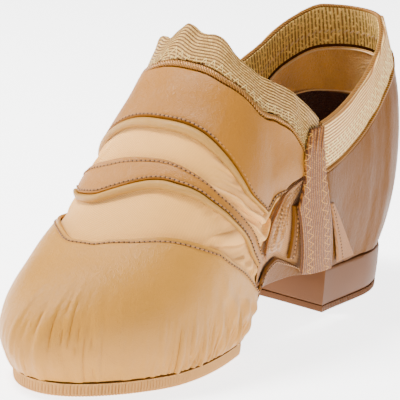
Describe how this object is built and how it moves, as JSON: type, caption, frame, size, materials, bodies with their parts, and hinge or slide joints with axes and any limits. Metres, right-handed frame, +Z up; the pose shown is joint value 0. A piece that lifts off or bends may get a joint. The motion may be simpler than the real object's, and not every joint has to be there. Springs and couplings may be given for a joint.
{
  "type": "split-sole dance shoe",
  "caption": "Slip-on split-sole leather dance shoe with stretch inserts across the vamp, elastic round the throat and collar, a low heel and a separate front outsole.",
  "frame": {"origin": "on the ground, under the middle of the heel", "axes": "+X to the toe, +Y to the outer side of the foot, +Z up"},
  "size_m": [0.2224, 0.0748, 0.1159],
  "materials": {
    "toe_leather": "smooth soft leather",
    "band_leather": "smooth soft leather",
    "quarter_leather": "smooth leather",
    "stretch_twill": "fine diagonal stretch twill",
    "woven_elastic": "ribbed woven elastic with a metallic yarn",
    "strap_elastic": "zigzag woven elastic",
    "gold_cord": "gold edge cord",
    "mesh": "sheer mesh",
    "tape": "cotton tape",
    "suede": "suede",
    "lining": "brushed lining",
    "ribbed_lining": "ribbed gold lining",
    "heel_rubber": "smooth matte rubber",
    "tread_rubber": "ribbed matte rubber",
    "board": "leather board"
  },
  "bodies": {
    "heel_unit": {"heel_top_piece": "tread_rubber", "heel_block": "heel_rubber", "heel_insole_board": "board", "heel_sock": "lining", "heel_counter": "board", "heel_quarter": "quarter_leather", "quarter_lining": "lining", "heel_grip": "suede", "collar_lining": "ribbed_lining", "collar_piping": "gold_cord", "collar_elastic": "woven_elastic", "arch_panel": "quarter_leather", "arch_sock": "lining", "mesh_gusset_lateral": "mesh", "strap_binding_lateral": "quarter_leather", "rear_tape_lateral": "tape", "side_strap_lateral": "strap_elastic", "mesh_gusset_medial": "mesh", "strap_binding_medial": "quarter_leather", "rear_tape_medial": "tape", "side_strap_medial": "strap_elastic"},
    "forefoot_unit": {"forefoot_outsole": "tread_rubber", "forefoot_insole_board": "board", "forefoot_sock": "lining", "toe_vamp": "toe_leather", "toe_lining": "lining", "vamp_lining": "lining", "lower_stretch_insert": "stretch_twill", "mid_band_lip": "toe_leather", "mid_band": "band_leather", "upper_stretch_insert": "stretch_twill", "instep_lip": "toe_leather", "instep_panel": "band_leather", "instep_piping": "gold_cord", "instep_elastic": "woven_elastic", "mesh_flap_lateral": "mesh", "mesh_flap_medial": "mesh", "arch_trim_lateral": "quarter_leather", "arch_trim_medial": "quarter_leather"}
  },
  "joints": [
    {"name": "arch_flex", "type": "hinge", "parent": "heel_unit", "child": "forefoot_unit", "pos_m": [0.045, 0, 0.019], "axis": [0, 1, 0], "range_deg": [-6, 35], "stiffness_Nm_per_rad": 1, "deforming": ["instep_elastic", "arch_panel", "arch_sock", "mesh_gusset_lateral", "mesh_gusset_medial", "mesh_flap_lateral", "mesh_flap_medial", "arch_trim_lateral", "arch_trim_medial", "strap_binding_lateral", "strap_binding_medial", "side_strap_lateral", "side_strap_medial"]}
  ]
}
